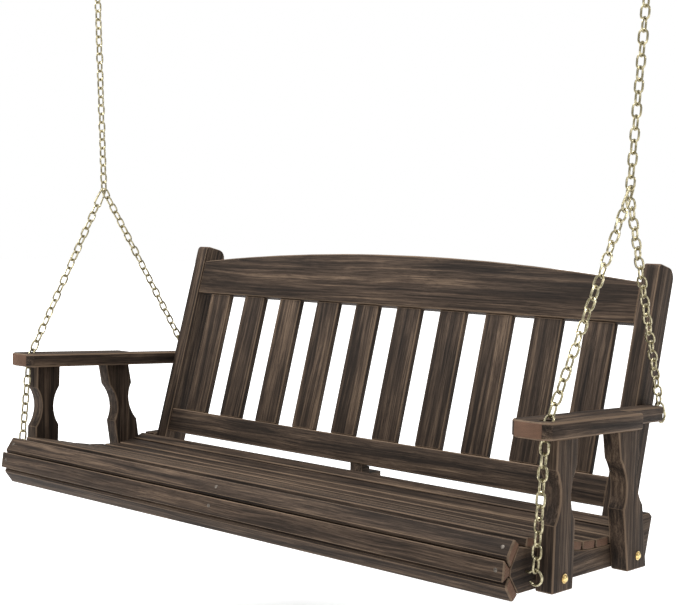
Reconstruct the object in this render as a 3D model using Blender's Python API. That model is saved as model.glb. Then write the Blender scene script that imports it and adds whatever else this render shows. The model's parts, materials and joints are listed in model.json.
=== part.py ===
"""Porch swing: a slatted bench with a rolled front edge, hung from two ceiling hooks on steel chain.

The bench is drawn in its own frame, with the front lower edge of the back's bottom rail at y = 0, z = 0,
the front towards -Y and +Z up. An empty then lowers it, so that the world origin is the point midway
between the two ceiling hooks, on the ceiling.
"""

import math

import bmesh
import bpy
from mathutils import Matrix, Vector

# Driving dimensions, in metres.
GAP = 0.0003  # between pieces that touch
TIMBER = 0.037  # thickness of posts, side rails and arm supports
RAIL_HALF = 0.664  # half the length of the back's rails, between the posts
POST_OUT = RAIL_HALF + TIMBER
SEAT_RAIL_IN = POST_OUT + GAP
SEAT_RAIL_OUT = SEAT_RAIL_IN + TIMBER
SUPPORT_IN = SEAT_RAIL_OUT + GAP
SUPPORT_OUT = SUPPORT_IN + TIMBER

# Back, in its own leaning frame: Y is the depth behind the posts' front, Z runs up the slope.
BACK_LEAN = math.radians(16.2)
POST_DEPTH = 0.074
POST_TOP = 0.522
BOTTOM_RAIL_HEIGHT = 0.062
TOP_RAIL_LOW = 0.388
TOP_RAIL_END = 0.4775
TOP_RAIL_CROWN = 0.516
BACK_RAIL_FRONT = 0.003
BACK_RAIL_THICK = 0.035
SLAT_COUNT = 10
SLAT_WIDTH = 0.072
SLAT_THICK = 0.018
SLAT_FRONT = 0.008
END_GAP = 0.0475

# Seat.
SEAT_SLAT_THICK = 0.017
SEAT_SLAT_GAP = 0.007
SEAT_CORNERS = [  # where neighbouring seat slats meet on the seat's upper surface, front to back
    (-0.408, 0.0203),
    (-0.358, 0.0105),
    (-0.308, -0.0006),
    (-0.258, -0.0128),
    (-0.208, -0.0222),
    (-0.158, -0.0278),
    (-0.107, -0.0305),
    (-0.057, -0.0240),
    (-0.020, -0.0110),
]
FRONT_SLAT_THICK = 0.020
FRONT_SLATS = {  # outer face of each slat of the rolled front edge, upper then lower corner
    "front_slat_upper": ((-0.4457, 0.0241), (-0.4676, -0.0058)),
    "front_slat_middle": ((-0.4757, -0.0075), (-0.4811, -0.0485)),
    "front_slat_lower": ((-0.4714, -0.0577), (-0.4474, -0.0897)),
}
SEAT_RAIL_BOTTOM = -0.0765  # at SEAT_RAIL_BOTTOM_Y, falling by SEAT_SLOPE to the rear
SEAT_RAIL_BOTTOM_Y = -0.4319
SEAT_SLOPE = -0.049

# Arms: boards that fall gently to the rear.
ARM_UNDERSIDE = 0.1773  # at y = 0
ARM_SLOPE = -0.0504
ARM_THICK = 0.0322
ARM_FRONT = -0.4248
ARM_REAR = 0.1087
ARM_STEP = -0.0702
ARM_OUT = 0.7855
ARM_CORNER = 0.016
CHAIN_HOLE = (0.757, -0.3825)
CHAIN_HOLE_RADIUS = 0.0145

# Chain and hardware.
WIRE = 0.0046
LINK_PITCH = 0.0227
LINK_WIDTH = 0.0214
WELD = 0.0006  # how far neighbouring links of one strand sink into each other
HOOK_WIRE = 0.0055
SNAP_WIRE = 0.0052
SNAP_NOSE = 0.0115  # how far the snap hook's wire comes down to meet its gate
CEILING_WIRE = 0.008
JUNCTION = Vector((0.7733, -0.133, 0.642))  # where the two lower chains leave the upper one
SPLAY = math.radians(3.45)  # the upper chains lean outwards
UPPER_LINKS = 26
ARM_HOOK = Vector((0.7215, ARM_REAR, 0.188))
RAIL_HOOK = Vector((SEAT_RAIL_OUT, -0.407, -0.040))


def clear_scene():
    for obj in list(bpy.data.objects):
        bpy.data.objects.remove(obj)


def make_material(name, color, roughness, metallic=0.0):
    material = bpy.data.materials.new(name)
    material.use_nodes = True
    shader = material.node_tree.nodes["Principled BSDF"]
    shader.inputs["Base Color"].default_value = (*color, 1.0)
    shader.inputs["Roughness"].default_value = roughness
    shader.inputs["Metallic"].default_value = metallic
    material.diffuse_color = (*color, 1.0)
    return material


def make_empty(name, location=(0, 0, 0), parent=None):
    empty = bpy.data.objects.new(name, None)
    bpy.context.scene.collection.objects.link(empty)
    empty.location = location
    empty.parent = parent
    return empty


def make_object(name, bm, material, parent, smooth=False):
    """Turn a bmesh into a named object with outward normals."""
    bmesh.ops.recalc_face_normals(bm, faces=bm.faces)
    mesh = bpy.data.meshes.new(name)
    bm.to_mesh(mesh)
    bm.free()
    if smooth:
        mesh.shade_smooth()
    mesh.materials.append(material)
    obj = bpy.data.objects.new(name, mesh)
    bpy.context.scene.collection.objects.link(obj)
    obj.parent = parent
    return obj


def add_bevel(obj, width):
    bevel = obj.modifiers.new("eased_edges", "BEVEL")
    bevel.width = width
    bevel.segments = 1
    bevel.limit_method = "ANGLE"
    bevel.angle_limit = math.radians(40)
    return obj


def add_boolean(obj, other, operation):
    boolean = obj.modifiers.new(operation.lower(), "BOOLEAN")
    boolean.operation = operation
    boolean.object = other
    other.hide_render = True
    other.display_type = "WIRE"
    return obj


def prism(outline, axis, low, high):
    """A flat outline pushed along X (outline in y, z), Y (in x, z) or Z (in x, y), from low to high."""
    bm = bmesh.new()
    place = {
        "X": lambda p: (low, p[0], p[1]),
        "Y": lambda p: (p[0], low, p[1]),
        "Z": lambda p: (p[0], p[1], low),
    }[axis]
    push = {"X": (high - low, 0, 0), "Y": (0, high - low, 0), "Z": (0, 0, high - low)}[axis]
    face = bm.faces.new([bm.verts.new(place(point)) for point in outline])
    extruded = bmesh.ops.extrude_face_region(bm, geom=[face])
    moved = [item for item in extruded["geom"] if isinstance(item, bmesh.types.BMVert)]
    bmesh.ops.translate(bm, verts=moved, vec=push)
    return bm


def box_outline(a_low, a_high, b_low, b_high):
    return [(a_low, b_low), (a_high, b_low), (a_high, b_high), (a_low, b_high)]


def arc(center, radius, start, end, steps):
    """Points on a circle, from the start angle to the end angle in degrees."""
    angles = [math.radians(start + (end - start) * i / steps) for i in range(steps + 1)]
    return [(center[0] + radius * math.cos(a), center[1] + radius * math.sin(a)) for a in angles]


def sweep(path, across, radius, sides, closed):
    """A round bar along a flat path. across is the normal of the plane that the path lies in."""
    bm = bmesh.new()
    points = [Vector(point) for point in path]
    across = Vector(across).normalized()
    count = len(points)
    rings = []
    for i, point in enumerate(points):
        before = points[i - 1] if closed or i > 0 else point
        after = points[(i + 1) % count] if closed or i < count - 1 else point
        along = (after - before).normalized()
        turn = 1.0
        if before != point and after != point:
            half = (point - before).normalized().dot((after - point).normalized())
            turn = math.sqrt(max((1 + half) / 2, 0.25))
        outward = along.cross(across).normalized() / turn
        ring = []
        for k in range(sides):
            angle = 2 * math.pi * k / sides
            ring.append(bm.verts.new(point + radius * (math.cos(angle) * outward + math.sin(angle) * across)))
        rings.append(ring)
    spans = range(count) if closed else range(count - 1)
    for i in spans:
        first, second = rings[i], rings[(i + 1) % count]
        for k in range(sides):
            m = (k + 1) % sides
            bm.faces.new((first[k], first[m], second[m], second[k]))
    if not closed:
        bm.faces.new(rings[0])
        bm.faces.new(rings[-1])
    return bm


def link_path(center, along, side, length, steps):
    """Centreline of one chain link: two straight sides joined by half circles, in the plane of along and side."""
    half_width = (LINK_WIDTH - WIRE) / 2
    straight = length / 2 - half_width
    fill = math.cos(math.pi / (2 * steps)) if steps % 2 else 1.0
    points = []
    for end in (1, -1):
        for i in range(steps + 1):
            angle = math.pi * i / steps
            across = half_width * math.cos(angle) * end
            reach = straight + half_width * math.sin(angle) / fill
            points.append(center + side * across + along * reach * end)
    return points


def link_mesh(center, along, side, length, steps=3, sides=4):
    return sweep(link_path(center, along, side, length, steps), along.cross(side), WIRE / 2, sides, True)


def perpendicular_to_x(along):
    """The direction square to a strand that lies nearest to Y."""
    return Vector((1, 0, 0)).cross(along).normalized()


def strand(name, start, end, count, first_side, material, parent):
    """A straight run of links between the wire that carries it and the wire that holds its end.

    start and end are the centres of the first link's upper wire and the last link's lower wire.
    Odd and even links are joined into one solid, as the pull holds them.
    """
    along = (end - start).normalized()
    length = WIRE - WELD + LINK_PITCH
    pitch = ((end - start).length - length) / (count - 1)
    length = pitch + WIRE - WELD
    pitch = ((end - start).length - length) / (count - 1)
    other_side = along.cross(first_side).normalized()
    halves = []
    for parity, side in ((0, first_side), (1, other_side)):
        bm = bmesh.new()
        for i in range(parity, count, 2):
            center = start + along * (length / 2 + pitch * i)
            part = link_mesh(center, along, side, length)
            mesh = bpy.data.meshes.new("link")
            part.to_mesh(mesh)
            part.free()
            bm.from_mesh(mesh)
            bpy.data.meshes.remove(mesh)
        halves.append(make_object(name if parity == 0 else name + "_odd", bm, material, parent))
    return add_boolean(halves[0], halves[1], "UNION")


# Wooden pieces.


def seat_rail_bottom(y):
    return SEAT_RAIL_BOTTOM + SEAT_SLOPE * (y - SEAT_RAIL_BOTTOM_Y)


def arm_underside(y):
    return ARM_UNDERSIDE + ARM_SLOPE * y


def offset_line(first, second, distance):
    """The line through two points, moved to the left of its direction by the distance."""
    (y1, z1), (y2, z2) = first, second
    length = math.hypot(y2 - y1, z2 - z1)
    shift_y = -(z2 - z1) / length * distance
    shift_z = (y2 - y1) / length * distance
    return (y1 + shift_y, z1 + shift_z), (y2 + shift_y, z2 + shift_z)


def crossing(line, other):
    """Where two lines in the YZ plane meet."""
    (y1, z1), (y2, z2) = line
    (y3, z3), (y4, z4) = other
    cross = (y1 - y2) * (z3 - z4) - (z1 - z2) * (y3 - y4)
    a = y1 * z2 - z1 * y2
    b = y3 * z4 - z3 * y4
    return ((a * (y3 - y4) - (y1 - y2) * b) / cross, (a * (z3 - z4) - (z1 - z2) * b) / cross)


def bearer_top():
    """Upper edge of the seat rails and the centre bearer, front to back, just under the slats."""
    below = SEAT_SLAT_THICK + GAP
    lines = [offset_line(front, rear, -below) for front, rear in zip(SEAT_CORNERS, SEAT_CORNERS[1:])]
    corners = [crossing(first, second) for first, second in zip(lines, lines[1:])]
    return [lines[0][0], *corners, lines[-1][1]]


def bearer_front():
    """Faceted front end that carries the three front slats, from the top edge to the bottom edge."""
    below = FRONT_SLAT_THICK + GAP
    facets = [offset_line(*corners, below) for corners in FRONT_SLATS.values()]
    top = bearer_top()
    top_line = ((-0.5, top[0][1] + 0.004), (0.0, top[0][1] + 0.004))
    bottom_line = ((-0.5, seat_rail_bottom(-0.5)), (0.0, seat_rail_bottom(0.0)))
    return [
        crossing(top_line, facets[0]),
        crossing(facets[0], facets[1]),
        crossing(facets[1], facets[2]),
        crossing(facets[2], bottom_line),
    ]


def post_line(depth, z):
    """y of the posts' face at a depth behind their front, at world height z."""
    slope = (z + depth * math.sin(BACK_LEAN)) / math.cos(BACK_LEAN)
    return slope * math.sin(BACK_LEAN) + depth * math.cos(BACK_LEAN)


def make_seat_rail(name, side, material, parent):
    """Contoured side rail with an upstand behind the last slat."""
    upstand = -0.0115
    last_y, last_z = bearer_top()[-1]
    rear_top = post_line(POST_DEPTH, upstand)
    rear_bottom = post_line(POST_DEPTH, -0.1)
    outline = bearer_front()[::-1] + bearer_top()
    outline += [
        (last_y + 0.0015, last_z),
        (last_y + 0.0015, upstand),
        (rear_top - 0.012, upstand),
        (rear_top - 0.001, upstand - 0.009),
        (rear_bottom, seat_rail_bottom(rear_bottom)),
    ]
    bounds = sorted((side * SEAT_RAIL_IN, side * SEAT_RAIL_OUT))
    return add_bevel(make_object(name, prism(outline, "X", *bounds), material, parent), 0.0015)


def make_centre_bearer(material, parent):
    """The middle of the three seat bearers, running out behind the last slat to carry the back's block."""
    last_z = bearer_top()[-1][1]
    rear = 0.078
    outline = bearer_front()[::-1] + bearer_top()
    outline += [(rear, last_z), (rear, seat_rail_bottom(rear))]
    bearer = make_object("centre_bearer", prism(outline, "X", -TIMBER / 2, TIMBER / 2), material, parent)
    return add_boolean(bearer, make_centre_block(material, parent), "UNION")


def make_centre_block(material, parent):
    """Short block on the centre bearer that carries the middle of the back's bottom rail."""
    foot = bearer_top()[-1][1] - 0.004
    front, rear = 0.006, 0.036
    rail_under = [-GAP - y * math.tan(BACK_LEAN) for y in (front, rear)]
    outline = [(front, foot), (rear, foot), (rear, rail_under[1]), (front, rail_under[0])]
    half = TIMBER / 2 - 0.0008
    return make_object("centre_block", prism(outline, "X", -half, half), material, parent)


def make_seat_slats(material, parent):
    """Slats laid side by side along the seat's curve."""
    for number, (front, rear) in enumerate(zip(SEAT_CORNERS, SEAT_CORNERS[1:]), 1):
        along = Vector((rear[0] - front[0], rear[1] - front[1])).normalized()
        start = Vector(front) + along * SEAT_SLAT_GAP / 2
        end = Vector(rear) - along * SEAT_SLAT_GAP / 2
        down = Vector((along.y, -along.x)) * SEAT_SLAT_THICK
        outline = [start, end, end + down, start + down]
        bm = prism([tuple(point) for point in outline], "X", -SEAT_RAIL_OUT, SEAT_RAIL_OUT)
        add_bevel(make_object(f"seat_slat_{number}", bm, material, parent), 0.002)


def make_front_slats(material, parent):
    """Three slats that roll over the front edge of the seat, mitred to each other behind their outer faces."""
    backs = [offset_line(*corners, FRONT_SLAT_THICK) for corners in FRONT_SLATS.values()]
    for index, (name, (upper, lower)) in enumerate(FRONT_SLATS.items()):
        ease = (Vector(lower) - Vector(upper)).normalized() * 0.0009
        back_upper, back_lower = (Vector(point) for point in backs[index])
        if index > 0:
            back_upper = Vector(crossing(backs[index - 1], backs[index])) + ease
        if index < len(backs) - 1:
            back_lower = Vector(crossing(backs[index], backs[index + 1])) - ease
        outline = [Vector(upper), Vector(lower), back_lower, back_upper]
        bm = prism([tuple(point) for point in outline], "X", -SEAT_RAIL_OUT, SEAT_RAIL_OUT)
        add_bevel(make_object(name, bm, material, parent), 0.003)


def make_post(name, side, material, parent):
    """Back post: square below, with a softly rounded head."""
    foot = -0.0995
    front_round, rear_round = 0.012, 0.024
    outline = [(0, foot + 0.02), (POST_DEPTH, foot + 0.0)]
    outline += arc((POST_DEPTH - rear_round, POST_TOP - rear_round), rear_round, 0, 90, 6)
    outline += arc((front_round, POST_TOP - front_round - 0.002), front_round, 90, 180, 4)
    bounds = sorted((side * (RAIL_HALF + GAP), side * POST_OUT))
    return add_bevel(make_object(name, prism(outline, "X", *bounds), material, parent), 0.0015)


def make_back_rails(material, parent):
    """Straight bottom rail and crowned top rail, butted between the posts."""
    depth = (BACK_RAIL_FRONT, BACK_RAIL_FRONT + BACK_RAIL_THICK)
    bottom = box_outline(-RAIL_HALF, RAIL_HALF, 0, BOTTOM_RAIL_HEIGHT)
    add_bevel(make_object("bottom_rail", prism(bottom, "Y", *depth), material, parent), 0.002)
    rise = TOP_RAIL_CROWN - TOP_RAIL_END
    radius = (RAIL_HALF**2 + rise**2) / (2 * rise)
    spread = math.degrees(math.asin(RAIL_HALF / radius))
    crown = arc((0, TOP_RAIL_CROWN - radius), radius, 90 - spread, 90 + spread, 24)
    top = [(-RAIL_HALF, TOP_RAIL_LOW), (RAIL_HALF, TOP_RAIL_LOW)] + crown
    add_bevel(make_object("top_rail", prism(top, "Y", *depth), material, parent), 0.002)


def make_back_slats(material, parent):
    pitch = (2 * RAIL_HALF - 2 * END_GAP - SLAT_WIDTH) / (SLAT_COUNT - 1)
    for number in range(SLAT_COUNT):
        low = -RAIL_HALF + END_GAP + number * pitch
        outline = box_outline(low, low + SLAT_WIDTH, BOTTOM_RAIL_HEIGHT + GAP, TOP_RAIL_LOW - GAP)
        bm = prism(outline, "Y", SLAT_FRONT, SLAT_FRONT + SLAT_THICK)
        add_bevel(make_object(f"back_slat_{number + 1}", bm, material, parent), 0.002)


def make_arm(name, side, material, parent):
    """Arm board with clipped front corners, a step in front of the post and a hole for the chain."""
    inner, tail = SEAT_RAIL_IN, SEAT_RAIL_OUT
    outline = [
        (inner, ARM_REAR),
        (inner, ARM_FRONT + ARM_CORNER),
        (inner + ARM_CORNER, ARM_FRONT),
        (ARM_OUT - ARM_CORNER, ARM_FRONT),
        (ARM_OUT, ARM_FRONT + ARM_CORNER),
        (ARM_OUT, ARM_STEP),
        (tail, ARM_STEP),
        (tail, ARM_REAR),
    ]
    bm = prism([(side * x, y) for x, y in outline], "Z", 0, ARM_THICK)
    shear = Matrix.Identity(4)
    shear[2][1] = ARM_SLOPE
    shear[2][3] = ARM_UNDERSIDE
    bmesh.ops.transform(bm, matrix=shear, verts=bm.verts)
    arm = add_bevel(make_object(name, bm, material, parent), 0.003)
    hole = arc(CHAIN_HOLE, CHAIN_HOLE_RADIUS, 0, 345, 23)
    drill = prism([(side * x, y) for x, y in hole], "Z", 0.15, 0.27)
    return add_boolean(arm, make_object(name + "_drill", drill, material, parent), "DIFFERENCE")


def make_support(name, side, front_y, width, lean, waist_z, material, parent):
    """Arm support: square blocks above and below a waist scooped out of both edges.

    front_y is the front edge at the waist's height; lean is how far y grows as z falls.
    """
    half_chord, depth = 0.050, 0.0175
    radius = (half_chord**2 + depth**2) / (2 * depth)
    sweep_angle = math.degrees(math.asin(half_chord / radius))

    def edge(y_offset, z):
        return front_y + y_offset + (waist_z - z) * lean

    scoops = []
    for center_y, middle in ((depth - radius, 0), (width - depth + radius, 180)):
        turn = sweep_angle if middle == 0 else -sweep_angle
        points = arc((center_y, 0), radius, middle - turn, middle + turn, 8)
        scoops.append([(edge(y, waist_z + z), waist_z + z) for y, z in points])
    front_scoop = sorted(scoops[0], key=lambda point: point[1])
    rear_scoop = sorted(scoops[1], key=lambda point: -point[1])
    below = 0.0035
    outline = []
    for y_offset in (width, 0):
        y = edge(y_offset, -0.09)
        outline.append((y, seat_rail_bottom(y) - below))
    outline += front_scoop
    for y_offset in (0, width):
        y = edge(y_offset, 0.19)
        outline.append((y, arm_underside(y) - GAP))
    outline += rear_scoop
    bounds = sorted((side * SUPPORT_IN, side * SUPPORT_OUT))
    return add_bevel(make_object(name, prism(outline, "X", *bounds), material, parent), 0.002)


# Hardware.


def make_bolt(name, side, y, z, material, parent):
    """Domed bolt head on a flat washer, on the outer face of an arm support."""
    bm = bmesh.new()
    face = SUPPORT_OUT + GAP
    profile = [(0.0090, 0), (0.0090, 0.0012), (0.0070, 0.0012), (0.0070, 0.0022), (0.0055, 0.0042), (0.0030, 0.0054)]
    rings = []
    for radius, height in profile:
        circle = arc((y, z), radius, 0, 345, 23)
        rings.append([bm.verts.new((side * (face + height), *point)) for point in circle])
    for lower, upper in zip(rings, rings[1:]):
        for k in range(len(lower)):
            m = (k + 1) % len(lower)
            bm.faces.new((lower[k], lower[m], upper[m], upper[k]))
    bm.faces.new(rings[0])
    bm.faces.new(rings[-1])
    return make_object(name, bm, material, parent)


def hook_path(bend, bow, tip):
    """Screw hook in its own plane: shank along the first axis, bend above it, mouth towards the wood."""
    path = [(-bend - bow, 0.62 * bend), (-0.93 * bend, 0.62 * bend)]
    path += arc((0, 0), bend, 138, -138, 16)
    last = path[-1]
    return path + [(last[0] - tip * 0.72, last[1] + tip * 0.69)]


def make_screw_hook(name, entry, outward, pull_from, material, parent, bow, tip):
    """Open hook screwed into the wood at entry, pointing outward; its screw thread is inside the wood.

    Returns the centre of the wire where a chain that comes from pull_from rests in the hook.
    """
    bend = 0.0135
    up = Vector((0, 0, 1))
    center = entry + outward * (bend + bow + GAP) - up * 0.62 * bend
    path = [center + outward * a + up * b for a, b in hook_path(bend, bow, tip)]
    make_object(name, sweep(path, outward.cross(up), HOOK_WIRE / 2, 8, False), material, parent, True)
    pull = pull_from - center
    return center + (outward * pull.dot(outward) + up * pull.dot(up)).normalized() * bend


def make_snap_hook(name, top, along, side, material, parent):
    """Pear-shaped snap hook, narrow end up, with a gate in its front side.

    top is the centre of the wire that it hangs on. Returns the centre of its lowest wire.
    """
    narrow, wide, length = 0.0068, 0.0102, 0.0590
    start = top - along * (SNAP_WIRE + WIRE + 0.0012) / 2
    top_center = start + along * narrow
    low_center = start + along * (length - SNAP_WIRE - wide)

    def at(center, radius, degrees):
        angle = math.radians(degrees)
        return center + side * radius * math.cos(angle) - along * radius * math.sin(angle)

    taper = math.degrees(math.asin((wide - narrow) / (low_center - top_center).length))
    body = [at(top_center, narrow, taper) + (along + side * math.tan(math.radians(taper))) * SNAP_NOSE]
    body += [at(top_center, narrow, angle) for angle in (taper, 25, 45, 70, 90, 110, 135, 155, 180 - taper)]
    body += [at(low_center, wide, angle) for angle in (180 - taper, 205, 230, 250, 270, 290, 310, 335, 355)]
    hinge = body[-1]
    nose = body[0]
    across = along.cross(side)
    make_object(name, sweep(body, across, SNAP_WIRE / 2, 8, False), material, parent, True)
    reach = nose - hinge
    step = reach.normalized() * 0.0020
    gate = [hinge + step, hinge + reach * 0.5, nose - step]
    gate_name = name.replace("snap_hook", "snap_gate")
    pivot = make_empty(gate_name + "_pivot", hinge, parent)
    bm = sweep([point - hinge for point in gate], across, SNAP_WIRE / 2 * 0.8, 8, False)
    make_object(gate_name, bm, material, pivot, True)
    return low_center + along * wide


def make_ceiling_hook(name, saddle, material, parent):
    """Plate with an eye-shaped hook below it; saddle is the centre of the hook's lowest wire."""
    bend = 0.0155
    center = saddle + Vector((0, 0, bend))
    plate_under = center.z + bend + 0.020
    path = [(0, bend + 0.022), (0, bend + 0.004)]
    path += [(0.0035, bend - 0.0005)]
    path += arc((0, 0), bend, 62, -222, 20)
    path = [center + Vector((a, 0, b)) for a, b in path]
    hook = make_object(name, sweep(path, (0, 1, 0), CEILING_WIRE / 2, 8, False), material, parent, True)
    half, thick = 0.030, 0.005
    outline = box_outline(saddle.x - half, saddle.x + half, saddle.y - half, saddle.y + half)
    plate = prism(outline, "Z", plate_under, plate_under + thick)
    add_boolean(hook, make_object(name + "_plate", plate, material, parent), "UNION")
    holes = bmesh.new()
    for x in (-0.02, 0.02):
        for y in (-0.02, 0.02):
            spot = Matrix.Translation((saddle.x + x, saddle.y + y, plate_under + thick / 2))
            bmesh.ops.create_cone(
                holes, cap_ends=True, segments=12, radius1=0.003, radius2=0.003, depth=4 * thick, matrix=spot
            )
    add_boolean(hook, make_object(name + "_holes", holes, material, parent), "DIFFERENCE")
    return plate_under + thick


def hang_side(word, side, steel, parent):
    """All the chain and hardware of one side."""
    junction = Vector((side * JUNCTION.x, JUNCTION.y, JUNCTION.z))
    x_axis, y_axis = Vector((1, 0, 0)), Vector((0, 1, 0))
    upward = Vector((side * math.sin(SPLAY), 0, math.cos(SPLAY)))
    link_length = LINK_PITCH + WIRE
    contact = WIRE + GAP

    # Upper chain: bend link, strand and top link, from the junction up to the ceiling hook.
    in_plane = upward.cross(y_axis).normalized()
    bend_center = junction + upward * link_length / 2
    bend_link = link_mesh(bend_center, upward, in_plane, link_length, 6, 8)
    make_object(f"bend_link_{word}", bend_link, steel, parent, True)
    strand_low = junction + upward * (link_length - contact)
    strand_top = strand_low + upward * (LINK_PITCH * (UPPER_LINKS - 2) + WIRE)
    strand(f"upper_chain_{word}", strand_top, strand_low, UPPER_LINKS - 2, in_plane, steel, parent)
    top_low = strand_top - upward * contact
    top_center = top_low + upward * link_length / 2
    top_link = link_mesh(top_center, upward, y_axis, link_length, 6, 8)
    make_object(f"top_link_{word}", top_link, steel, parent, True)
    saddle = top_low + upward * (link_length - (WIRE + CEILING_WIRE) / 2 - GAP)
    ceiling = make_ceiling_hook(f"ceiling_hook_{word}", saddle, steel, parent)

    # Rear chain, from the bend link to the hook in the arm's rear end.
    entry = Vector((side * ARM_HOOK.x, ARM_HOOK.y, ARM_HOOK.z))
    hook_top = make_screw_hook(f"arm_hook_{word}", entry, y_axis, junction, steel, parent, 0.012, 0.0)
    rear_from = junction - x_axis * 0.0026 * side + upward * 0.0013
    along = (hook_top - rear_from).normalized()
    hold = (WIRE + HOOK_WIRE) / 2 + GAP
    rear_side = perpendicular_to_x(along)
    strand(
        f"rear_chain_{word}",
        rear_from - along * contact,
        hook_top + along * hold,
        24,
        rear_side,
        steel,
        parent,
    )

    # Front chain: snap hook, strand to the arm's hole, and strand on to the hook in the seat rail.
    knee = Vector((side * CHAIN_HOLE[0], CHAIN_HOLE[1] - 0.0015, arm_underside(CHAIN_HOLE[1]) + ARM_THICK / 2))
    front_from = junction + x_axis * 0.0028 * side + upward * 0.0021
    along = (knee - front_from).normalized()
    snap_low = make_snap_hook(f"snap_hook_{word}", front_from, along, perpendicular_to_x(along), steel, parent)
    first_wire = snap_low - along * ((WIRE + SNAP_WIRE) / 2 + GAP)
    front_side = along.cross(perpendicular_to_x(along)).normalized()
    strand(f"front_chain_{word}", first_wire, knee, 19, front_side, steel, parent)

    entry = Vector((side * RAIL_HOOK.x, RAIL_HOOK.y, RAIL_HOOK.z))
    hook_top = make_screw_hook(f"rail_hook_{word}", entry, x_axis * side, knee, steel, parent, 0.005, 0.006)
    along = (hook_top - knee).normalized()
    lower_from = knee - along * contact
    lower_side = perpendicular_to_x(along)
    strand(f"lower_chain_{word}", lower_from, hook_top + along * hold, 11, lower_side, steel, parent)
    return ceiling


def main():
    clear_scene()
    wood = make_material("burnt_wood", (0.055, 0.038, 0.028), 0.6)
    steel = make_material("zinc_steel", (0.62, 0.58, 0.42), 0.35, 1.0)
    brass = make_material("brass_plate", (0.80, 0.62, 0.30), 0.3, 1.0)
    bench = make_empty("bench_frame")
    back = make_empty("back_frame", parent=bench)
    back.rotation_euler.x = -BACK_LEAN

    for word, side in (("left", -1), ("right", 1)):
        make_post(f"back_post_{word}", side, wood, back)
        make_seat_rail(f"seat_rail_{word}", side, wood, bench)
        make_arm(f"arm_{word}", side, wood, bench)
        make_support(f"front_support_{word}", side, -0.3735, 0.071, -0.022, 0.090, wood, bench)
        make_support(f"rear_support_{word}", side, -0.1285, 0.076, 0.185, 0.078, wood, bench)
        make_bolt(f"front_bolt_{word}", side, -0.338, -0.0605, brass, bench)
        make_bolt(f"rear_bolt_{word}", side, -0.059, -0.071, brass, bench)
        ceiling = hang_side(word, side, steel, bench)
    make_back_rails(wood, back)
    make_back_slats(wood, back)
    make_centre_bearer(wood, bench)
    make_seat_slats(wood, bench)
    make_front_slats(wood, bench)

    # The origin is on the ceiling, midway between the two ceiling hooks.
    bench.location = (0, -JUNCTION.y, -ceiling)


main()
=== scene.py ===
# %% [markdown]
# # A charred-wood porch swing on chain
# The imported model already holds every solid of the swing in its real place. This lesson dresses it:
# boards get softened edges and a burnt grain, the joined-up strands become separate links, and the
# hooks become bent wire. Everything is in metres, and the origin is on the ceiling between the hooks.

import json
import math
import random

import bmesh
import bpy
from mathutils import Matrix, Vector


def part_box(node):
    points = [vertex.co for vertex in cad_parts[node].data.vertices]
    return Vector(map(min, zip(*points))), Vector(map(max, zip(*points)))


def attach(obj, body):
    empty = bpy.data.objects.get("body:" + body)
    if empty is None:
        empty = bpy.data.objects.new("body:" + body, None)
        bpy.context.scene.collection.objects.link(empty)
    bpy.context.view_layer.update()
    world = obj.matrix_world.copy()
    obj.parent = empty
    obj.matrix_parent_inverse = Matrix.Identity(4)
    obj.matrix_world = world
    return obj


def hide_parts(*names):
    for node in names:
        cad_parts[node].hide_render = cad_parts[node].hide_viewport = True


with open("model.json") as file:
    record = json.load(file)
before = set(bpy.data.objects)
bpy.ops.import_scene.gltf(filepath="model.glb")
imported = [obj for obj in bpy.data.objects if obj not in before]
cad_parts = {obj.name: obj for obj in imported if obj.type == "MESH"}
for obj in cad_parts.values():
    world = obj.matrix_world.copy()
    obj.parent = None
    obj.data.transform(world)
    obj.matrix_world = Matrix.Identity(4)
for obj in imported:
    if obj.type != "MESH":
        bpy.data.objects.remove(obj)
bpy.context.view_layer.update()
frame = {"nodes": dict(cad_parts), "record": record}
random.seed(7)
SIDES = (("left", -1), ("right", 1))
X, Y, Z = Vector((1, 0, 0)), Vector((0, 1, 0)), Vector((0, 0, 1))
pivots = {joint["name"]: Vector(joint["pos_m"]) for joint in frame["record"]["behaviour"]["joints"]}

# %% [markdown]
# ## Camera, floor and light
# The camera stands in front of the right arm, level with the seat back, with a long lens. The floor and
# the sky are both nearly white, so the swing reads as a dark shape in soft light from above and the left.

# %% Camera, floor and light
BENCH_TO_CEILING = Vector((0, 0.133, -1.284535))
CAMERA_PLACE = Vector((1.9418, -2.3429, 0.5738)) + BENCH_TO_CEILING
CAMERA_AZIMUTH, CAMERA_DIP, CAMERA_ROLL = (math.radians(a) for a in (40.4455, 3.602, 1.0013))
CAMERA_LENS = 68.28
FLOOR_HEIGHT = -1.80
FLOOR_FADE = (1.6, 4.5, 0.10, 1.0)  # the floor glows from this strength near the swing to this one far away
SKY = ((0.0, 0.05), (0.47, 0.08), (0.58, 0.42), (1.0, 0.80))  # how bright the room is from below to above


def place_camera():
    turn = Matrix.Rotation(CAMERA_AZIMUTH, 4, "Z") @ Matrix.Rotation(math.radians(90) - CAMERA_DIP, 4, "X")
    camera = bpy.data.objects.new("camera", bpy.data.cameras.new("camera"))
    camera.data.lens = CAMERA_LENS
    camera.data.clip_end = 60
    camera.matrix_world = Matrix.Translation(CAMERA_PLACE) @ turn @ Matrix.Rotation(CAMERA_ROLL, 4, "Z")
    bpy.context.scene.collection.objects.link(camera)
    bpy.context.scene.camera = camera


def soft_box(name, place, size, power):
    light = bpy.data.objects.new(name, bpy.data.lights.new(name, "AREA"))
    light.data.shape, light.data.size, light.data.energy = "DISK", size, power
    light.location = place
    aim = Vector((0, 0, -1.1)) - light.location
    light.rotation_euler = aim.to_track_quat("-Z", "Y").to_euler()
    bpy.context.scene.collection.objects.link(light)


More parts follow.
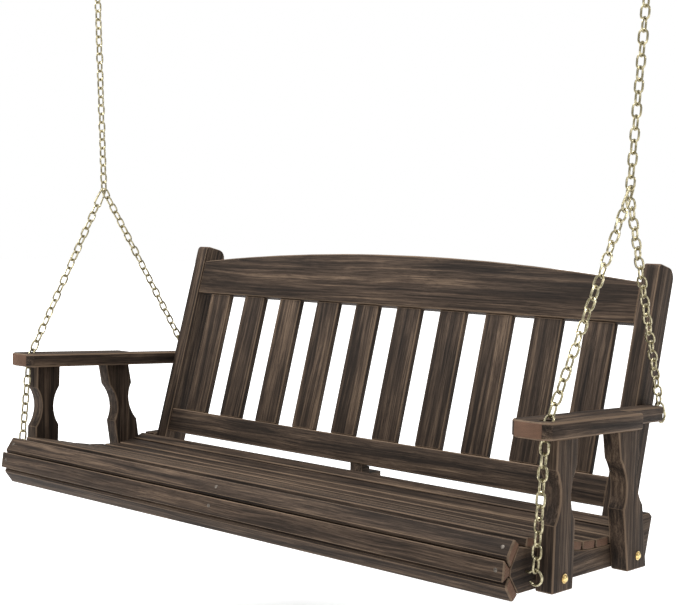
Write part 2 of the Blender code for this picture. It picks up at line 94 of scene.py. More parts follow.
def pale_floor():
    bm = bmesh.new()
    bmesh.ops.create_circle(bm, cap_ends=True, segments=64, radius=30)
    bmesh.ops.translate(bm, verts=bm.verts, vec=(0, 0, FLOOR_HEIGHT))
    mesh = bpy.data.meshes.new("floor")
    bm.to_mesh(mesh)
    bm.free()
    floor = bpy.data.objects.new("floor", mesh)
    bpy.context.scene.collection.objects.link(floor)
    paper = bpy.data.materials.new("pale_floor")
    paper.use_nodes = True
    tree = paper.node_tree
    shader = tree.nodes["Principled BSDF"]
    shader.inputs["Base Color"].default_value = (0.93, 0.93, 0.93, 1)
    shader.inputs["Roughness"].default_value = 1.0
    place = tree.nodes.new("ShaderNodeTexCoord")
    far = tree.nodes.new("ShaderNodeVectorMath")
    far.operation = "LENGTH"
    fade = tree.nodes.new("ShaderNodeMapRange")
    for label, value in zip(("From Min", "From Max", "To Min", "To Max"), FLOOR_FADE):
        fade.inputs[label].default_value = value
    tree.links.new(place.outputs["Object"], far.inputs[0])
    tree.links.new(far.outputs["Value"], fade.inputs["Value"])
    tree.links.new(fade.outputs[0], shader.inputs["Emission Strength"])
    shader.inputs["Emission Color"].default_value = (1, 1, 1, 1)
    mesh.materials.append(paper)


place_camera()
pale_floor()
soft_box("key", (-2.2, -2.8, 2.2), 1.8, 150)
soft_box("top", (0.2, -0.6, 2.8), 1.8, 110)
soft_box("side", (3.8, 0.4, 0.9), 1.0, 22)


def white_room():
    """Bright above and dim below, so that the steel has something dark to mirror, against white."""
    world = bpy.data.worlds.new("white_room")
    world.use_nodes = True
    tree = world.node_tree
    direction = tree.nodes.new("ShaderNodeTexCoord")
    height = tree.nodes.new("ShaderNodeSeparateXYZ")
    level = tree.nodes.new("ShaderNodeMapRange")
    level.inputs["From Min"].default_value = -1.0
    shade = tree.nodes.new("ShaderNodeValToRGB")
    elements = shade.color_ramp.elements
    while len(elements) < len(SKY):
        elements.new(0.5)
    for element, (position, strength) in zip(elements, SKY):
        element.position, element.color = position, (strength, strength, strength, 1)
    seen = tree.nodes.new("ShaderNodeLightPath")
    pick = tree.nodes.new("ShaderNodeMix")
    pick.data_type = "RGBA"
    pick.inputs[7].default_value = (1, 1, 1, 1)
    tree.links.new(direction.outputs["Generated"], height.inputs[0])
    tree.links.new(height.outputs["Z"], level.inputs["Value"])
    tree.links.new(level.outputs[0], shade.inputs[0])
    tree.links.new(seen.outputs["Is Camera Ray"], pick.inputs[0])
    tree.links.new(shade.outputs[0], pick.inputs[6])
    tree.links.new(pick.outputs[2], tree.nodes["Background"].inputs["Color"])
    bpy.context.scene.world = world


white_room()
bpy.context.scene.view_settings.view_transform = "Standard"

# %% [markdown]
# ## Shared patterns
# A node group is a pattern with named inputs that several materials can use. The first one is wood: long
# streaks that follow each board, fine pores, and rings on the sawn ends. It reads an attribute called
# plank, which each board carries: x runs along the grain, y across the board and z through it.
# The second is a plated metal that is a little uneven and a little worn.

# %% Node helpers


def new_group(name, inputs, outputs):
    group = bpy.data.node_groups.new(name, "ShaderNodeTree")
    for label, kind, default in inputs:
        socket = group.interface.new_socket(label, in_out="INPUT", socket_type=kind)
        socket.default_value = default
    for label, kind in outputs:
        group.interface.new_socket(label, in_out="OUTPUT", socket_type=kind)
    return group, group.nodes.new("NodeGroupInput"), group.nodes.new("NodeGroupOutput")


def node(tree, kind, settings=None, **links):
    """One node with its properties set and its inputs linked or filled in by name."""
    made = tree.nodes.new(kind)
    for label, value in (settings or {}).items():
        setattr(made, label, value)
    for label, value in links.items():
        slot = made.inputs[int(label[1:])] if label[1:].isdigit() else made.inputs[label.replace("_", " ")]
        if isinstance(value, bpy.types.NodeSocket):
            tree.links.new(value, slot)
        else:
            slot.default_value = value
    return made


def streaks(tree, place, stretch, detail, roughness=0.6):
    """Noise drawn out along the grain."""
    scaled = node(tree, "ShaderNodeMapping", Vector=place, Scale=stretch)
    return node(
        tree, "ShaderNodeTexNoise", Vector=scaled.outputs[0], Scale=1.0, Detail=detail, Roughness=roughness
    ).outputs[0]


def ramp(tree, factor, stops):
    made = node(tree, "ShaderNodeValToRGB", Fac=factor)
    elements = made.color_ramp.elements
    while len(elements) < len(stops):
        elements.new(0.5)
    for element, (position, color) in zip(elements, stops):
        element.position, element.color = position, (*color, 1)
    return made.outputs[0]


def blended(tree, factor, first, second, how="MIX"):
    settings = {"data_type": "RGBA", "blend_type": how}
    return node(tree, "ShaderNodeMix", settings, i0=factor, i6=first, i7=second).outputs[2]


def figured(tree, how, first, second=0.5):
    return node(tree, "ShaderNodeMath", {"operation": how}, i0=first, i1=second).outputs[0]


# %% Wood pattern
CHAR, UMBER = (0.0085, 0.0055, 0.0040), (0.026, 0.0170, 0.0115)
EARTH, TAN = (0.066, 0.044, 0.030), (0.180, 0.124, 0.082)
RING_DARK, RING_MIDDLE, RING_LIGHT = (0.050, 0.026, 0.017), (0.13, 0.070, 0.045), (0.235, 0.130, 0.082)


def burnt_grain_group():
    group, inp, out = new_group(
        "burnt_grain",
        [("Brushed", "NodeSocketFloat", 1.0)],
        [("Color", "NodeSocketColor"), ("Roughness", "NodeSocketFloat"), ("Height", "NodeSocketFloat")],
    )
    plank = node(group, "ShaderNodeAttribute", {"attribute_name": "plank"}).outputs["Vector"]
    ends = node(group, "ShaderNodeAttribute", {"attribute_name": "sawn_end"}).outputs["Fac"]
    edges = node(group, "ShaderNodeAttribute", {"attribute_name": "edge"}).outputs["Fac"]

    # The grain wanders, so its lines arch round where a branch once grew.
    wander = node(group, "ShaderNodeMapping", Vector=plank, Scale=(2.2, 9.0, 9.0))
    wander = node(group, "ShaderNodeTexNoise", Vector=wander.outputs[0], Scale=1.0, Detail=2.0).outputs[1]
    wander = node(group, "ShaderNodeVectorMath", {"operation": "SUBTRACT"}, i0=wander, i1=(0.5, 0.5, 0.5))
    wander = node(
        group, "ShaderNodeVectorMath", {"operation": "MULTIPLY"}, i0=wander.outputs[0], i1=(0.0, 0.022, 0.022)
    )
    grain = node(group, "ShaderNodeVectorMath", i0=plank, i1=wander.outputs[0]).outputs[0]

    broad = streaks(group, grain, (2.4, 62, 62), 5.0)
    bands = streaks(group, grain, (3.5, 240, 240), 4.0, 0.7)
    pores = streaks(group, grain, (26, 1300, 1300), 2.0)
    mottle = streaks(group, plank, (5, 12, 12), 3.0)

    tone = figured(group, "MULTIPLY", broad, 0.62)
    tone = figured(group, "ADD", tone, figured(group, "MULTIPLY", bands, 0.46))
    tone = figured(group, "ADD", tone, figured(group, "MULTIPLY", mottle, 0.16))
    tone = figured(group, "SUBTRACT", tone, 0.115)
    color = ramp(group, tone, [(0.34, CHAR), (0.46, UMBER), (0.56, EARTH), (0.70, TAN)])
    dark_pores = ramp(group, pores, [(0.36, (0.42, 0.40, 0.38)), (0.50, (1, 1, 1))])
    color = blended(group, 1.0, color, dark_pores, "MULTIPLY")
    rubbed = figured(group, "MULTIPLY", edges, figured(group, "MULTIPLY", inp.outputs[0], broad))
    color = blended(group, rubbed, color, (*TAN, 1))

    rings = node(group, "ShaderNodeMapping", Vector=plank, Scale=(0, 1, 2.4), Location=(0, 0.03, 0.05))
    rings = node(
        group,
        "ShaderNodeTexWave",
        {"wave_type": "RINGS", "rings_direction": "X", "wave_profile": "SAW"},
        Vector=rings.outputs[0],
        Scale=62.0,
        Distortion=1.3,
        Detail=2.0,
        Detail_Scale=1.2,
    ).outputs[1]
    ring_color = ramp(group, rings, [(0.1, RING_LIGHT), (0.72, RING_MIDDLE), (0.95, RING_DARK)])
    ring_color = blended(group, figured(group, "MULTIPLY", mottle, 0.75), ring_color, (*UMBER, 1))
    color = blended(group, ends, color, ring_color)

    height = figured(group, "MULTIPLY", bands, 0.55)
    height = figured(group, "ADD", height, figured(group, "MULTIPLY", pores, 0.45))
    height = figured(group, "ADD", height, figured(group, "MULTIPLY", broad, 0.8))
    rough = figured(group, "SUBTRACT", 0.86, figured(group, "MULTIPLY", bands, 0.32))
    for label, value in (("Color", color), ("Roughness", rough), ("Height", height)):
        group.links.new(value, out.inputs[label])
    return group


def burnt_wood(group):
    """Boards that were charred, brushed along the grain and left with a dull oil finish."""
    material = bpy.data.materials.new("burnt_wood")
    material.use_nodes = True
    tree = material.node_tree
    shader = tree.nodes["Principled BSDF"]
    pattern = tree.nodes.new("ShaderNodeGroup")
    pattern.node_tree = group
    pattern.inputs["Brushed"].default_value = 1.3
    bump = node(tree, "ShaderNodeBump", Strength=0.55, Distance=0.0009, Height=pattern.outputs["Height"])
    for label in ("Color", "Roughness"):
        tree.links.new(pattern.outputs[label], shader.inputs["Base Color" if label == "Color" else label])
    tree.links.new(bump.outputs[0], shader.inputs["Normal"])
    shader.inputs["Specular IOR Level"].default_value = 0.16
    return material


wood = burnt_wood(burnt_grain_group())
print("wood pattern ready")

# %% Plated metal pattern


def plated_group():
    group, inp, out = new_group(
        "plated",
        [
            ("Plate", "NodeSocketColor", (0.8, 0.8, 0.7, 1)),
            ("Dull", "NodeSocketColor", (0.3, 0.3, 0.25, 1)),
            ("Roughness", "NodeSocketFloat", 0.3),
        ],
        [("Color", "NodeSocketColor"), ("Roughness", "NodeSocketFloat"), ("Height", "NodeSocketFloat")],
    )
    place = node(group, "ShaderNodeTexCoord").outputs["Object"]
    clouds = node(group, "ShaderNodeTexNoise", Vector=place, Scale=190.0, Detail=4.0, Roughness=0.65)
    specks = node(group, "ShaderNodeTexNoise", Vector=place, Scale=1500.0, Detail=2.0).outputs[0]
    cloudy = node(group, "ShaderNodeMapRange", Value=clouds.outputs[0], From_Min=0.40, From_Max=0.66)
    amount = cloudy.outputs[0]
    color = blended(group, amount, inp.outputs["Plate"], inp.outputs["Dull"])
    rough = figured(group, "ADD", inp.outputs["Roughness"], figured(group, "MULTIPLY", amount, 0.22))
    for label, value in (("Color", color), ("Roughness", rough), ("Height", specks)):
        group.links.new(value, out.inputs[label])
    return group


def plated_metal(name, group, plate, dull, roughness):
    material = bpy.data.materials.new(name)
    material.use_nodes = True
    tree = material.node_tree
    shader = tree.nodes["Principled BSDF"]
    pattern = tree.nodes.new("ShaderNodeGroup")
    pattern.node_tree = group
    pattern.inputs["Plate"].default_value = (*plate, 1)
    pattern.inputs["Dull"].default_value = (*dull, 1)
    pattern.inputs["Roughness"].default_value = roughness
    bump = node(tree, "ShaderNodeBump", Strength=0.25, Distance=0.0002, Height=pattern.outputs["Height"])
    tree.links.new(pattern.outputs["Color"], shader.inputs["Base Color"])
    tree.links.new(pattern.outputs["Roughness"], shader.inputs["Roughness"])
    tree.links.new(bump.outputs[0], shader.inputs["Normal"])
    shader.inputs["Metallic"].default_value = 1.0
    return material


plated = plated_group()
zinc = plated_metal("zinc_plate", plated, (0.50, 0.45, 0.30), (0.20, 0.17, 0.09), 0.24)
brass = plated_metal("brass_plate", plated, (0.86, 0.66, 0.30), (0.52, 0.36, 0.14), 0.24)
screw_steel = plated_metal("screw_steel", plated, (0.16, 0.14, 0.12), (0.07, 0.06, 0.05), 0.45)

# %% [markdown]
# ## Boards
# Each board starts from its own solid. A copy is merged into large faces, and the sawn edges get a small
# round. The copy then carries three attributes: plank, sawn_end and edge, which place the grain.

# %% Boards
BACK_LEAN = math.radians(16.2)
ARM_FALL = math.radians(2.885)
SUPPORT_TILT = math.radians(10.5)
EDGE_ROUND = 0.0007
EDGE_BAND = 0.0035  # a rounded edge's faces are narrower than this
END_REACH = 0.022  # how far from a board's tips a face can still be a sawn end
UP_BACK = Vector((0, math.sin(BACK_LEAN), math.cos(BACK_LEAN)))
THROUGH_BACK = Vector((0, math.cos(BACK_LEAN), -math.sin(BACK_LEAN)))
ALONG_ARM = Vector((0, math.cos(ARM_FALL), -math.sin(ARM_FALL)))
UP_REAR_SUPPORT = Vector((0, -math.sin(SUPPORT_TILT), math.cos(SUPPORT_TILT)))


def finished(name, bm, material, body, slot, *replaced, smooth=math.radians(32)):
    """Turns a bmesh into a piece that rides a body and stands for CAD nodes."""
    mesh = bpy.data.meshes.new(name)
    bm.to_mesh(mesh)
    bm.free()
    mesh.shade_smooth()
    mesh.set_sharp_from_angle(angle=smooth)
    mesh.materials.append(material)
    piece = bpy.data.objects.new(name, mesh)
    bpy.context.scene.collection.objects.link(piece)
    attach(piece, body)
    if replaced:
        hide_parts(*replaced)
    return piece


def softened_copy(cad_node):
    bm = bmesh.new()
    bm.from_mesh(frame["nodes"][cad_node].data)
    bmesh.ops.remove_doubles(bm, verts=bm.verts, dist=1e-5)
    bmesh.ops.dissolve_limit(bm, angle_limit=math.radians(1), verts=bm.verts, edges=bm.edges)
    corners = [edge for edge in bm.edges if edge.is_manifold and edge.calc_face_angle() > math.radians(30)]
    bmesh.ops.bevel(
        bm,
        geom=corners,
        offset=EDGE_ROUND,
        segments=2,
        profile=0.5,
        affect="EDGES",
        material=-1,
        clamp_overlap=True,
    )
    return bm


def lay_grain(bm, along, across, shift):
    """Writes where each point lies in its plank, which faces are sawn ends and which are rounded edges."""
    plank = bm.verts.layers.float_vector.new("plank")
    sawn = bm.faces.layers.float.new("sawn_end")
    edge = bm.faces.layers.float.new("edge")
    through = along.cross(across)
    ends = [face.calc_center_median().dot(along) for face in bm.faces]
    low, high = min(ends) + END_REACH, max(ends) - END_REACH
    for vert in bm.verts:
        vert[plank] = Vector((vert.co.dot(along), vert.co.dot(across), vert.co.dot(through))) + shift
    for face in bm.faces:
        facing = abs(face.normal.dot(along))
        reach = face.calc_center_median().dot(along)
        face[sawn] = 1.0 if facing > 0.8 and not low < reach < high else 0.0
        square = max(facing, abs(face.normal.dot(across)), abs(face.normal.dot(through)))
        narrow = face.calc_area() / max(side.calc_length() for side in face.edges) < EDGE_BAND
        face[edge] = 1.0 if square < 0.985 and narrow else 0.0


def board(cad_node, along, across):
    bm = softened_copy(cad_node)
    shift = Vector((random.uniform(-9, 9), random.uniform(-0.4, 0.4), random.uniform(-0.4, 0.4)))
    lay_grain(bm, along, across, shift)
    return finished(cad_node + "_board", bm, wood, "bench", "burnt_wood", cad_node)


for name in ("top_rail", "bottom_rail"):
    board(name, X, UP_BACK)
for number in range(1, 11):
    board(f"back_slat_{number}", UP_BACK, X)
for number in range(1, 9):
    board(f"seat_slat_{number}", X, Y)
for name in ("upper", "middle", "lower"):
    board(f"front_slat_{name}", X, Z)
board("centre_bearer", Y, Z)
for word, side in SIDES:
    board(f"back_post_{word}", UP_BACK, THROUGH_BACK)
    board(f"seat_rail_{word}", Y, Z)
    board(f"arm_{word}", ALONG_ARM, X)
    board(f"front_support_{word}", Z, Y)
    board(f"rear_support_{word}", UP_REAR_SUPPORT, Y)

# %% [markdown]
# ## Bent wire
# Links and hooks are all bent from round wire, so one small wire bender makes them all. It holds a ring
# of points, the wire's section. A straight stretch pushes the ring on, and a bend spins it about a centre.

# %% The wire bender
WIRE_SIDES = 8
DOME_STEPS = ((0.25, 0.94), (0.30, 0.76), (0.16, 0.62))  # how far on, in half radii, and how much narrower


class Bender:
    """Bends one wire in the plane of u and w. Angles are in degrees from u towards w."""

    def __init__(self, start, u, w, heading, radius, sides=WIRE_SIDES):
        self.bm = bmesh.new()
        self.u, self.w, self.axis = u.normalized(), w.normalized(), u.cross(w).normalized()
        self.place, self.heading, self.radius = start.copy(), heading, radius
        turn = Z.rotation_difference(self.direction()).to_matrix().to_4x4()
        made = bmesh.ops.create_circle(
            self.bm, segments=sides, radius=radius, matrix=Matrix.Translation(start) @ turn
        )
        self.ring = made["verts"]
        self.first = list(self.ring)

    def direction(self, turned=0.0):
        angle = math.radians(self.heading + turned)
        return self.u * math.cos(angle) + self.w * math.sin(angle)

    def edges(self, ring):
        inside = set(ring)
        return [edge for edge in self.bm.edges if edge.verts[0] in inside and edge.verts[1] in inside]

    def straight(self, length):
        made = bmesh.ops.extrude_edge_only(self.bm, edges=self.edges(self.ring))
        self.ring = [item for item in made["geom"] if isinstance(item, bmesh.types.BMVert)]
        bmesh.ops.translate(self.bm, verts=self.ring, vec=self.direction() * length)
        self.place += self.direction() * length
        return self

    def bend(self, radius, degrees, steps):
        center = self.place + self.direction(math.copysign(90, degrees)) * radius
        made = bmesh.ops.spin(
            self.bm,
            geom=self.ring + self.edges(self.ring),
            cent=center,
            axis=self.axis,
            angle=math.radians(degrees),
            steps=steps,
            use_merge=False,
        )
        self.ring = [item for item in made["geom_last"] if isinstance(item, bmesh.types.BMVert)]
        self.place = center + Matrix.Rotation(math.radians(degrees), 3, self.axis) @ (self.place - center)
        self.heading += degrees
        return self

    def rounded(self, ring, outward):
        """Closes an end with a small dome."""
        for reach, scale in DOME_STEPS:
            made = bmesh.ops.extrude_edge_only(self.bm, edges=self.edges(ring))
            ring = [item for item in made["geom"] if isinstance(item, bmesh.types.BMVert)]
            middle = sum((vert.co for vert in ring), Vector()) / len(ring)
            bmesh.ops.translate(self.bm, verts=ring, vec=outward * reach * self.radius * 0.5)
            bmesh.ops.scale(self.bm, verts=ring, vec=(scale,) * 3, space=Matrix.Translation(-middle))
        bmesh.ops.contextual_create(self.bm, geom=self.edges(ring))

    def closed_loop(self):
        bmesh.ops.bridge_loops(self.bm, edges=self.edges(self.ring) + self.edges(self.first))
        return self.cleaned()

    def open_wire(self, start_heading):
        angle = math.radians(start_heading)
        self.rounded(self.first, -(self.u * math.cos(angle) + self.w * math.sin(angle)))
        self.rounded(self.ring, self.direction())
        return self.cleaned()

    def cleaned(self):
        bmesh.ops.remove_doubles(self.bm, verts=self.bm.verts, dist=1e-6)
        bmesh.ops.recalc_face_normals(self.bm, faces=self.bm.faces)
        return self.bm


# %% [markdown]
# ## Chain
# The chain is straight-link steel chain. Each link is one wire bent into a loop: bend, straight, bend,
# straight. Links alternate by a quarter turn, and each strand settles with a slight twist, as real chain
# does.

# %% Chain links
WIRE = 0.0046
LINK_WIDTH = 0.0214
LINK_PITCH = 0.0227
TWIST = math.radians(8)  # the most that a link turns from its neighbours' planes
LINK_PLAY = 0.0001
HALF_WIDTH = (LINK_WIDTH - WIRE) / 2


def link_loop(center, along, side, length):
    """One closed link, its long axis along the strand and its width along side."""
    straight = length - 2 * HALF_WIDTH
    start = center + side * HALF_WIDTH + along * straight / 2
    bender = Bender(start, side, along, 90, WIRE / 2)
    bender.bend(HALF_WIDTH, 180, 6).straight(straight).bend(HALF_WIDTH, 180, 6)
    return bender.closed_loop()


def run_of_links(start, end, count, first_side, settle):
    """Links from the first one's upper wire to the last one's lower wire."""
    along = (end - start).normalized()
    length = WIRE + LINK_PITCH
    for _ in range(3):
        pitch = ((end - start).length - length) / (count - 1)
        length = pitch + WIRE - LINK_PLAY
    whole = bmesh.new()
    for index in range(count):
        ease = math.sin(math.pi * index / max(count - 1, 1))
        quarter = math.pi / 2 * (index % 2)
        turned = quarter + ease * TWIST * math.sin(index * 0.9 + settle)
        side = Matrix.Rotation(turned, 3, along) @ first_side
        loop = link_loop(start + along * (length / 2 + pitch * index), along, side, length)
        mesh = bpy.data.meshes.new("loop")
        loop.to_mesh(mesh)
        loop.free()
        whole.from_mesh(mesh)
        bpy.data.meshes.remove(mesh)
    return whole


def square_to(along):
    """The direction nearest to Y that is square to a strand."""
    return X.cross(along).normalized()


# %% Hang the chains
GAP = 0.0003  # between two wires that rest on each other
CONTACT = WIRE + GAP
SPLAY = math.radians(3.45)
ARM_HEIGHT = 0.1773 + 0.0504 * 0.3825  # the arm's underside at the hole: its height at y = 0 and its slope
ARM_HALF_THICK = 0.0161
ARM_HOLE = Vector((0.757, -0.384, ARM_HEIGHT + ARM_HALF_THICK)) + BENCH_TO_CEILING
UPPER_LINKS, FRONT_LINKS, LOWER_LINKS, REAR_LINKS = 24, 19, 11, 24
HOOK_WIRE = 0.0055
HOOK_BEND = 0.0135
HOLD = (WIRE + HOOK_WIRE) / 2 + GAP
SNAP_WIRE = 0.0052
SNAP_LENGTH, SNAP_NARROW, SNAP_WIDE, SNAP_NOSE = 0.0590, 0.0068, 0.0102, 0.0115
SNAP_SEAT = (0.0028, 0.0021)  # where the snap hook hangs in the bend link: outward and up from the pivot
REAR_SEAT = (0.0026, 0.0013)  # the same for the rear chain, but inward and up
SNAP_TOP_PLAY = 0.0012


def hook_center(cad_node, outward_index):
    """The centre of a screw hook's ring, found from its solid's box."""
    low, high = (Vector(corner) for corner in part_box(cad_node))
    center = (low + high) / 2
    reach = HOOK_BEND + HOOK_WIRE / 2
    edge = high if center[outward_index] > 0 else low
    center[outward_index] = edge[outward_index] - math.copysign(reach, center[outward_index])
    center.z = low.z + reach
    return center


def resting_point(center, pull_from, outward):
    pull = pull_from - center
    return center + (outward * pull.dot(outward) + Z * pull.z).normalized() * HOOK_BEND


def on_side(point, side):
    return Vector((side * abs(point.x), point.y, point.z))


def up_the_chain(side):
    return Vector((side * math.sin(SPLAY), 0, math.cos(SPLAY)))


def snap_lines(junction, side):
    """Where a side's snap hook hangs: its top wire, its direction, its open side and where its chain ends."""
    outward, up = SNAP_SEAT
    top = junction + X * outward * side + up_the_chain(side) * up
    knee = on_side(ARM_HOLE, side)
    along = (knee - top).normalized()
    return top - along * (SNAP_WIRE + WIRE + SNAP_TOP_PLAY) / 2, along, square_to(along), knee


def hang_chains(word, side):
    upward = up_the_chain(side)
    in_plane = upward.cross(Y).normalized()
    junction = on_side(pivots["pitch"], side)
    link_length = LINK_PITCH + WIRE
    low = junction + upward * (link_length - CONTACT)
    top = low + upward * (LINK_PITCH * UPPER_LINKS + WIRE)
    top_low = top - upward * CONTACT

    for name, foot, across in (("bend_link", junction, in_plane), ("top_link", top_low, Y)):
        loop = link_loop(foot + upward * link_length / 2, upward, across, link_length)
        finished(f"{name}_{word}_wire", loop, zinc, f"{name}_{word}", "zinc_steel", f"{name}_{word}")
    links = run_of_links(top, low, UPPER_LINKS, in_plane, 0.4 * side)
    name = f"upper_chain_{word}"
    finished(name + "_links", links, zinc, name, "zinc_steel", name)

    start, along, across, knee = snap_lines(junction, side)
    first_wire = start + along * (SNAP_LENGTH - SNAP_WIRE) - along * ((WIRE + SNAP_WIRE) / 2 + GAP)
    arm_hook, rail_hook = hook_center(f"arm_hook_{word}", 1), hook_center(f"rail_hook_{word}", 0)
    inward, up = REAR_SEAT
    rear_from = junction - X * inward * side + upward * up
    rear_rest = resting_point(arm_hook, junction, Y)
    rear_along = (rear_rest - rear_from).normalized()
    rail_rest = resting_point(rail_hook, knee, X * side)
    lower_along = (rail_rest - knee).normalized()
    lower_start, lower_end = knee - lower_along * CONTACT, rail_rest + lower_along * HOLD
    rear_start, rear_end = rear_from - rear_along * CONTACT, rear_rest + rear_along * HOLD
    runs = (
        ("front_chain", first_wire, knee, FRONT_LINKS, along.cross(across).normalized()),
        ("lower_chain", lower_start, lower_end, LOWER_LINKS, square_to(lower_along)),
        ("rear_chain", rear_start, rear_end, REAR_LINKS, square_to(rear_along)),
    )
    for index, (name, first, last, count, first_side) in enumerate(runs):
        links = run_of_links(first, last, count, first_side, side + index)
        finished(f"{name}_{word}_links", links, zinc, "bench", "zinc_steel", f"{name}_{word}")


for word, side in SIDES:
    hang_chains(word, side)
print("chains hung")

# %% [markdown]
# ## Hooks
# A screw hook is a shank that runs out of the wood and curls almost all the way round. The snap hook is
# a pear-shaped loop, left open on one side, where a sprung gate closes it. The ceiling hook hangs from a
# plate with four screws.

# %% Screw hooks


HOOK_TIP, HOOK_NECK = -138.0, 138.0  # where the ring starts and ends, in degrees up from outward
NECK_ROUND = 0.0045


def on_ring(center, u, w, radius, degrees):
    angle = math.radians(degrees)
    return center + (u * math.cos(angle) + w * math.sin(angle)) * radius


def screw_hook(name, outward, outward_index):
    center = hook_center(name, outward_index)
    low, high = (Vector(corner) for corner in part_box(name))
    start = on_ring(center, outward, Z, HOOK_BEND, HOOK_TIP)
    bender = Bender(start, outward, Z, HOOK_TIP + 90, HOOK_WIRE / 2, 12)
    bender.bend(HOOK_BEND, HOOK_NECK - HOOK_TIP, 28).bend(NECK_ROUND, 90 - HOOK_NECK, 6)
    wood_face = low[outward_index] if outward[outward_index] > 0 else high[outward_index]
    bender.straight(abs(bender.place[outward_index] - wood_face))
    finished(name + "_wire", bender.open_wire(HOOK_TIP + 90), zinc, "bench", "zinc_steel", name)


for word, side in SIDES:
    screw_hook(f"arm_hook_{word}", Y, 1)
    screw_hook(f"rail_hook_{word}", X * side, 0)

# %% Snap hooks
SNAP_HINGE = 355  # degrees round the wide bend, from the open side
GATE_WIRE = 0.8 * SNAP_WIRE
GATE_INSET = 0.0026  # how far the gate stays back from the hook at each end


def snap_hook(word, side):
    start, along, open_side, _ = snap_lines(on_side(pivots["pitch"], side), side)
    up = -along
    top_center = start + along * SNAP_NARROW
    low_center = start + along * (SNAP_LENGTH - SNAP_WIRE - SNAP_WIDE)
    apart = (low_center - top_center).length
    taper = math.degrees(math.asin((SNAP_WIDE - SNAP_NARROW) / apart))
    run = math.sqrt(apart**2 - (SNAP_WIDE - SNAP_NARROW) ** 2)

    slope = math.tan(math.radians(taper))
    nose = on_ring(top_center, open_side, up, SNAP_NARROW, taper) + (along + open_side * slope) * SNAP_NOSE
    hinge = on_ring(low_center, open_side, up, SNAP_WIDE, SNAP_HINGE)
    bender = Bender(nose, open_side, up, 90 + taper, SNAP_WIRE / 2, 12)
    bender.straight(SNAP_NOSE * math.hypot(1, slope)).bend(SNAP_NARROW, 180 - 2 * taper, 12)
    bender.straight(run).bend(SNAP_WIDE, SNAP_HINGE - 180 + taper, 14)
    name = f"snap_hook_{word}"
    finished(name + "_wire", bender.open_wire(90 + taper), zinc, "bench", "zinc_steel", name)

    reach = nose - hinge
    heading = math.degrees(math.atan2(reach.dot(up), reach.dot(open_side)))
    gate = Bender(hinge + reach.normalized() * GATE_INSET, open_side, up, heading, GATE_WIRE / 2, 12)
    gate.straight(reach.length - 2 * GATE_INSET)
    name = f"snap_gate_{word}"
    finished(name + "_bar", gate.open_wire(heading), zinc, name, "zinc_steel", name)


for word, side in SIDES:
    snap_hook(word, side)

# %% Ceiling hooks
CEILING_WIRE = 0.008
CEILING_BEND = 0.0155
CEILING_TIP, CEILING_NECK = 138.0, 62.0
PLATE_HALF, PLATE_THICK, PLATE_CORNER, PLATE_RIM = 0.030, 0.005, 0.006, 0.0008
PLATE_SCREW = 0.02  # how far the four screws are from the plate's middle lines
PLATE_SCREW_PROFILE = [(0.0056, -0.001), (0.0056, 0.0008), (0.0040, 0.0022), (0, 0.0028)]


def turned_head(bm, place, axis, profile, steps=24):
    """Spins a profile of (radius, height) points about an axis, for screw and bolt heads."""
    side = axis.orthogonal().normalized()
    points = [bm.verts.new(place + side * radius + axis * height) for radius, height in profile]
    edges = [bm.edges.new(pair) for pair in zip(points, points[1:])]
    profile_line = points + edges
    bmesh.ops.spin(bm, geom=profile_line, cent=place, axis=axis, angle=math.tau, steps=steps, use_merge=True)


def closed_heads(bm):
    bmesh.ops.remove_doubles(bm, verts=bm.verts, dist=1e-6)
    bmesh.ops.holes_fill(bm, edges=bm.edges)
    bmesh.ops.recalc_face_normals(bm, faces=bm.faces)
    return bm


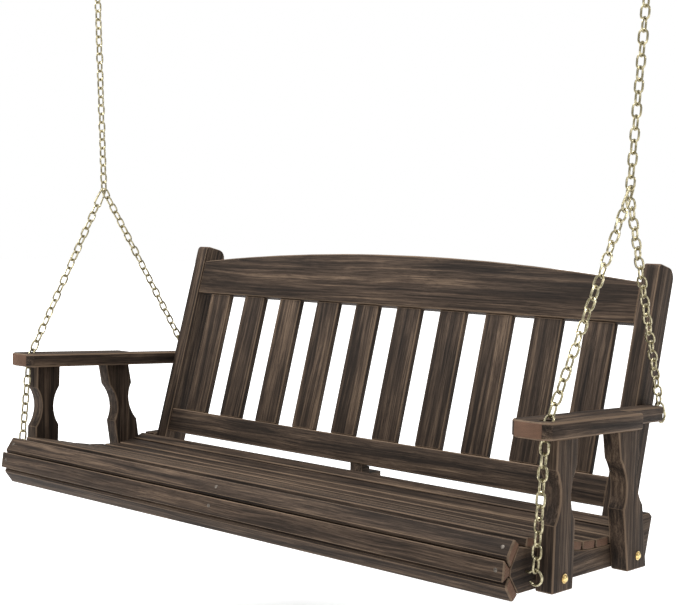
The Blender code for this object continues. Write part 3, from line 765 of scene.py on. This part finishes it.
def ceiling_hook(word, side):
    name = f"ceiling_hook_{word}"
    saddle = on_side(pivots["swing"], side)
    start = on_ring(saddle + Z * CEILING_BEND, X, Z, CEILING_BEND, CEILING_TIP)
    bender = Bender(start, X, Z, CEILING_TIP + 90, CEILING_WIRE / 2, 14)
    bender.bend(CEILING_BEND, 360 - CEILING_TIP + CEILING_NECK, 28)
    lean = math.cos(math.radians(CEILING_NECK))
    bender.bend(CEILING_BEND * lean / (1 - lean), -CEILING_NECK, 8)
    bender.straight(-PLATE_THICK / 2 - bender.place.z)
    bm = bender.open_wire(CEILING_TIP + 90)
    plate = bmesh.ops.create_cube(bm, size=1)["verts"]
    bmesh.ops.scale(bm, verts=plate, vec=(2 * PLATE_HALF, 2 * PLATE_HALF, PLATE_THICK))
    bmesh.ops.translate(bm, verts=plate, vec=(saddle.x, saddle.y, -PLATE_THICK / 2))
    corners = {edge for vert in plate for edge in vert.link_edges}
    upright = [edge for edge in corners if abs((edge.verts[0].co - edge.verts[1].co).z) > 0.001]
    bmesh.ops.bevel(
        bm, geom=upright, offset=PLATE_CORNER, segments=5, profile=0.5, affect="EDGES", material=-1
    )
    rim = [edge for edge in bm.edges if all(abs(vert.co.z + PLATE_THICK) < 1e-6 for vert in edge.verts)]
    bmesh.ops.bevel(bm, geom=rim, offset=PLATE_RIM, segments=2, profile=0.5, affect="EDGES", material=-1)
    finished(name + "_forged", bm, zinc, "ceiling_hooks", "zinc_steel", name)
    heads = bmesh.new()
    for x in (-PLATE_SCREW, PLATE_SCREW):
        for y in (-PLATE_SCREW, PLATE_SCREW):
            place = Vector((saddle.x + x, saddle.y + y, -PLATE_THICK))
            turned_head(heads, place, -Z, PLATE_SCREW_PROFILE, 16)
    finished(name + "_screws", closed_heads(heads), screw_steel, "ceiling_hooks", "zinc_steel")


for word, side in SIDES:
    ceiling_hook(word, side)

# %% [markdown]
# ## Bolts and screws
# Domed bolts on washers go through the arm supports into the side rails. Small countersunk screws hold
# the upper two front slats at both ends and in the middle.

# %% Bolts and screws
BOLT_PROFILE = [
    (0.0090, 0.0),
    (0.0090, 0.0010),
    (0.0086, 0.0013),
    (0.0072, 0.0013),
    (0.0071, 0.0021),
    (0.0064, 0.0034),
    (0.0050, 0.0045),
    (0.0030, 0.0052),
    (0, 0.0054),
]


def bolt(name, side):
    low, high = (Vector(corner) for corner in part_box(name))
    center = (low + high) / 2
    center.x = low.x if side > 0 else high.x
    bm = bmesh.new()
    turned_head(bm, center, X * side, BOLT_PROFILE)
    finished(name + "_head", closed_heads(bm), brass, "bench", "brass_plate", name)


for word, side in SIDES:
    for name in ("front_bolt", "rear_bolt"):
        bolt(f"{name}_{word}", side)

SCREW_ROWS = (  # a point on each slat's face, in the bench's own y and z, and the face's outward direction
    (Vector((0, -0.4567, 0.0091)), Vector((0, -0.807, 0.590))),
    (Vector((0, -0.4784, -0.0280)), Vector((0, -0.991, 0.130))),
)
SCREW_PLACES = (-0.720, 0.0, 0.720)
SCREW_PROFILE = [(0.0040, -0.0008), (0.0040, 0.0002), (0.0033, 0.0007), (0, 0.0008)]


def slat_screws():
    bm = bmesh.new()
    for place, outward in SCREW_ROWS:
        for x in SCREW_PLACES:
            turned_head(bm, place + BENCH_TO_CEILING + X * x, outward.normalized(), SCREW_PROFILE, 16)
    finished("front_slat_screws", closed_heads(bm), screw_steel, "bench", "zinc_steel")


slat_screws()
